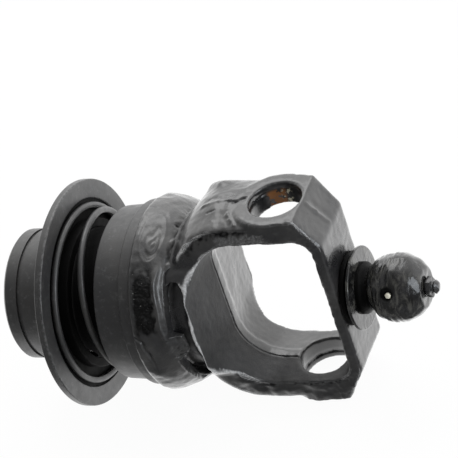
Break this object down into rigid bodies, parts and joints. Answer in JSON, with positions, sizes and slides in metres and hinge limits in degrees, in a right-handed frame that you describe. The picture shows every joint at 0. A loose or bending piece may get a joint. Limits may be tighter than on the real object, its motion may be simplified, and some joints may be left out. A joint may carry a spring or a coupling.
{
  "type": "forged drive shaft yoke",
  "caption": "Forged fork closed by a bridge with a centring ball stud, welded to a splined hub with a spring-loaded ball collar.",
  "frame": {"origin": "where the hub axis meets the axis of the two cross bores", "axes": "+X along the hub axis towards the ball stud, +Z along the cross bores, +Y to the open side of the fork"},
  "size_m": [0.182, 0.095, 0.095],
  "materials": {
    "black_paint": "gloss black paint over a forged and welded surface",
    "hub_paint": "satin black paint over turned steel",
    "spring_steel": "thin black coat on spring wire",
    "bearing_steel": "bright hardened steel",
    "nipple_finish": "black paint over plated steel"
  },
  "bodies": {
    "hub": {"splined_hub": "hub_paint", "yoke": "black_paint", "weld_bead": "black_paint", "retaining_ring": "spring_steel", "collar_spring": "spring_steel", "ball_stud": "black_paint", "dust_washer": "hub_paint", "grease_nipple": "nipple_finish"},
    "collar": {"release_collar": "hub_paint"},
    "ball_1": {"locking_ball_1": "bearing_steel"},
    "ball_2": {"locking_ball_2": "bearing_steel"},
    "ball_3": {"locking_ball_3": "bearing_steel"}
  },
  "joints": [
    {"name": "collar_slide", "type": "slide", "parent": "hub", "child": "collar", "axis": [1, 0, 0], "range_m": [0, 0.007], "stiffness_N_per_m": 2500, "springref_m": -0.004, "deforming": ["collar_spring"]},
    {"name": "ball_1_lift", "type": "slide", "parent": "hub", "child": "ball_1", "axis": [0, 0, 1], "range_m": [0, 0.0029]},
    {"name": "ball_2_lift", "type": "slide", "parent": "hub", "child": "ball_2", "axis": [0, -0.866, -0.5], "range_m": [0, 0.0029]},
    {"name": "ball_3_lift", "type": "slide", "parent": "hub", "child": "ball_3", "axis": [0, 0.866, -0.5], "range_m": [0, 0.0029]}
  ],
  "couplings": [
    {"joint": "ball_1_lift", "follows": "collar_slide", "ratio": 0.41429},
    {"joint": "ball_2_lift", "follows": "collar_slide", "ratio": 0.41429},
    {"joint": "ball_3_lift", "follows": "collar_slide", "ratio": 0.41429}
  ]
}
